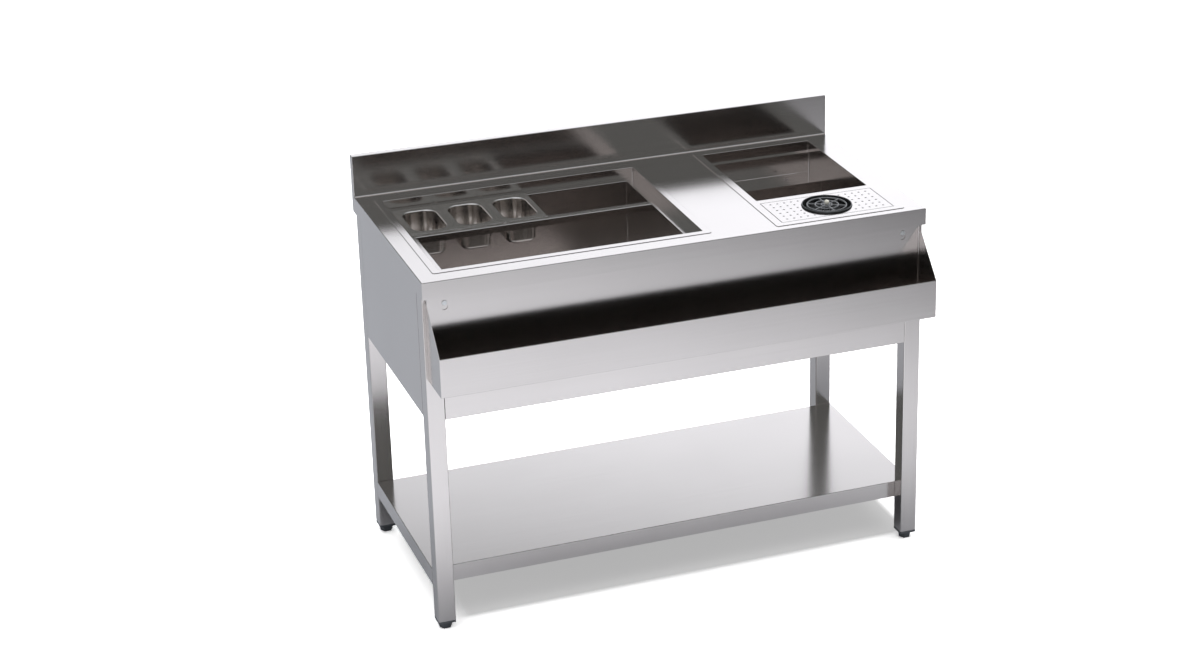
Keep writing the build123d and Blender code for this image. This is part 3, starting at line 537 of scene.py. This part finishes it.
def room_colour(tree):
    """What the steel mirrors above the floor, by its heading and height."""
    parts = shade(tree, "SeparateXYZ", {0: shade(tree, "TexCoord").outputs["Generated"]})
    height = parts.outputs["Z"]
    level = shade(tree, "CombineXYZ", {"X": parts.outputs["X"], "Y": parts.outputs["Y"], "Z": 0.0})
    level = shade(tree, "VectorMath", {0: level.outputs[0]}, operation="NORMALIZE").outputs["Vector"]
    wall = ease(tree, facing_share(tree, level, bright_wall_heading), *bright_wall_spread)
    wall = reckon(tree, "MULTIPLY", wall, ease(tree, height, *bright_wall_top, 1.0, 0.0))
    lamp = ease(tree, facing_share(tree, level, side_lamp_heading), *side_lamp_spread, 0.0, side_lamp_share)
    lamp = reckon(tree, "MULTIPLY", lamp, ease(tree, height, *side_lamp_top, 1.0, 0.0))
    ceiling = ease(tree, height, *ceiling_rise, 0.0, ceiling_share)
    bright = reckon(tree, "MAXIMUM", wall, ceiling)
    bright = reckon(tree, "MAXIMUM", bright, lamp)
    return blend_colours(tree, bright, dim_room_colour, bright_wall_colour), height


def make_world():
    world = bpy.data.worlds.new("studio")
    bpy.context.scene.world = world
    world.use_nodes = True
    # rays find the soft world by themselves, so each kind of ray sees its own part of it
    world.cycles.sampling_method = "NONE"
    tree = world.node_tree
    tree.nodes.clear()
    room, height = room_colour(tree)
    seen_in_metal = shade(tree, "Background", {"Color": room, "Strength": 1.0})
    overhead = ease(tree, height, *lamp_edge, lamp_fill, lamp_strength)
    soft_light = shade(tree, "Background", {"Color": white, "Strength": overhead})
    backdrop = shade(tree, "Background", {"Color": white, "Strength": 1.0})
    path = shade(tree, "LightPath")
    lit = shade(tree, "MixShader", {
        0: path.outputs["Is Diffuse Ray"], 1: seen_in_metal.outputs[0], 2: soft_light.outputs[0],
    })
    seen = shade(tree, "MixShader", {
        0: path.outputs["Is Camera Ray"], 1: lit.outputs[0], 2: backdrop.outputs[0],
    })
    output = shade(tree, "OutputWorld")
    tree.links.new(seen.outputs[0], output.inputs["Surface"])


def painted_shadow_share(tree, spot):
    """Painted shadow: one under the shelf, none outside it, with a soft edge between."""
    low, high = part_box("shelf")
    left_x = low.x + shadow_left_inset
    left = ease(tree, spot.outputs["X"], left_x - shadow_left_edge, left_x + shadow_left_edge)
    right = ease(tree, spot.outputs["X"], high.x - shadow_edge, high.x + shadow_edge, 1.0, 0.0)
    front = ease(tree, spot.outputs["Y"], low.y - shadow_edge, low.y + shadow_edge)
    back = ease(tree, spot.outputs["Y"], high.y - shadow_edge, high.y + shadow_edge, 1.0, 0.0)
    inside = reckon(tree, "MULTIPLY", left, right)
    inside = reckon(tree, "MULTIPLY", inside, front)
    return reckon(tree, "MULTIPLY", inside, back)


def mirrored_floor(tree, place, spot):
    """The floor's colour as the steel mirrors it, with its painted pool of light and painted shade."""
    offset = (-pool_centre[0], -pool_centre[1], 0.0)
    mapped = shade(tree, "Mapping", {"Vector": place, "Location": offset}).outputs[0]
    reach = shade(tree, "VectorMath", {0: mapped}, operation="LENGTH").outputs["Value"]
    # painted pool of light: brightest at the pool centre and falling off with distance from it
    pool = shade(tree, "ValToRGB", {"Fac": reckon(tree, "DIVIDE", reach, pool_reach)})
    stops = pool.color_ramp.elements
    while len(stops) < len(pool_stops):
        stops.new(0.5)
    for stop, (position, level) in zip(stops, pool_stops):
        stop.position = position
        stop.color = (level * pool_tint[0], level * pool_tint[1], level * pool_tint[2], 1)
    # painted shade: the pool is drawn darker as it nears the station
    fade = ease(tree, spot.outputs["Y"], *pool_shade_span, 1.0, pool_shade_share)
    faded = shade(tree, "VectorMath", {0: pool.outputs["Color"], "Scale": fade}, operation="SCALE")
    beside = ease(tree, spot.outputs["Y"], *side_floor_edge)
    return blend_colours(tree, beside, faded.outputs["Vector"], side_floor_colour)


def make_floor():
    turns = [math.tau * k / floor_sides for k in range(floor_sides)]
    ring = [(floor_radius * math.cos(turn), floor_radius * math.sin(turn), 0.0) for turn in turns]
    mesh = bpy.data.meshes.new("studio_floor")
    mesh.from_pydata(ring, [], [tuple(range(floor_sides))])
    floor = bpy.data.objects.new("studio_floor", mesh)
    bpy.context.scene.collection.objects.link(floor)
    material, tree, output = fresh_material("pale_floor_with_painted_shadow_and_pool")
    place = shade(tree, "TexCoord").outputs["Object"]
    spot = shade(tree, "SeparateXYZ", {0: place})
    in_metal = mirrored_floor(tree, place, spot)
    # painted shadow: for the camera the floor is drawn at shadow_gain under the shelf and floor_gain outside it
    under = painted_shadow_share(tree, spot)
    gain = shade(tree, "MapRange", {"Value": under, "To Min": floor_gain, "To Max": shadow_gain})
    by_camera = shade(tree, "LightPath").outputs["Is Camera Ray"]
    shown = blend_colours(tree, by_camera, in_metal, gain.outputs["Result"])
    pale = shade(tree, "BsdfDiffuse", {"Color": shown, "Roughness": 0.0})
    glow = shade(tree, "Emission", {
        "Color": white, "Strength": reckon(tree, "MULTIPLY", by_camera, floor_glow),
    })
    both = shade(tree, "AddShader", {0: pale.outputs[0], 1: glow.outputs[0]})
    tree.links.new(both.outputs[0], output.inputs["Surface"])
    mesh.materials.append(material)


def make_camera():
    turn = math.radians(camera_azimuth)
    lift = math.radians(camera_elevation)
    back = Vector((math.sin(turn) * math.cos(lift), -math.cos(turn) * math.cos(lift), math.sin(lift)))
    data = bpy.data.cameras.new("camera")
    data.sensor_width = sensor_width
    data.lens = focal_pixels / photo_width * sensor_width
    data.shift_x = (photo_width / 2 - optical_centre[0]) / photo_width
    data.shift_y = (optical_centre[1] - photo_height / 2) / photo_width
    camera = bpy.data.objects.new("camera", data)
    bpy.context.scene.collection.objects.link(camera)
    camera.location = camera_place
    camera.rotation_mode = "QUATERNION"
    camera.rotation_quaternion = (-back).to_track_quat("-Z", "Y")
    bpy.context.scene.camera = camera


make_world()
make_floor()
make_camera()
bpy.context.scene.view_settings.view_transform = "Standard"
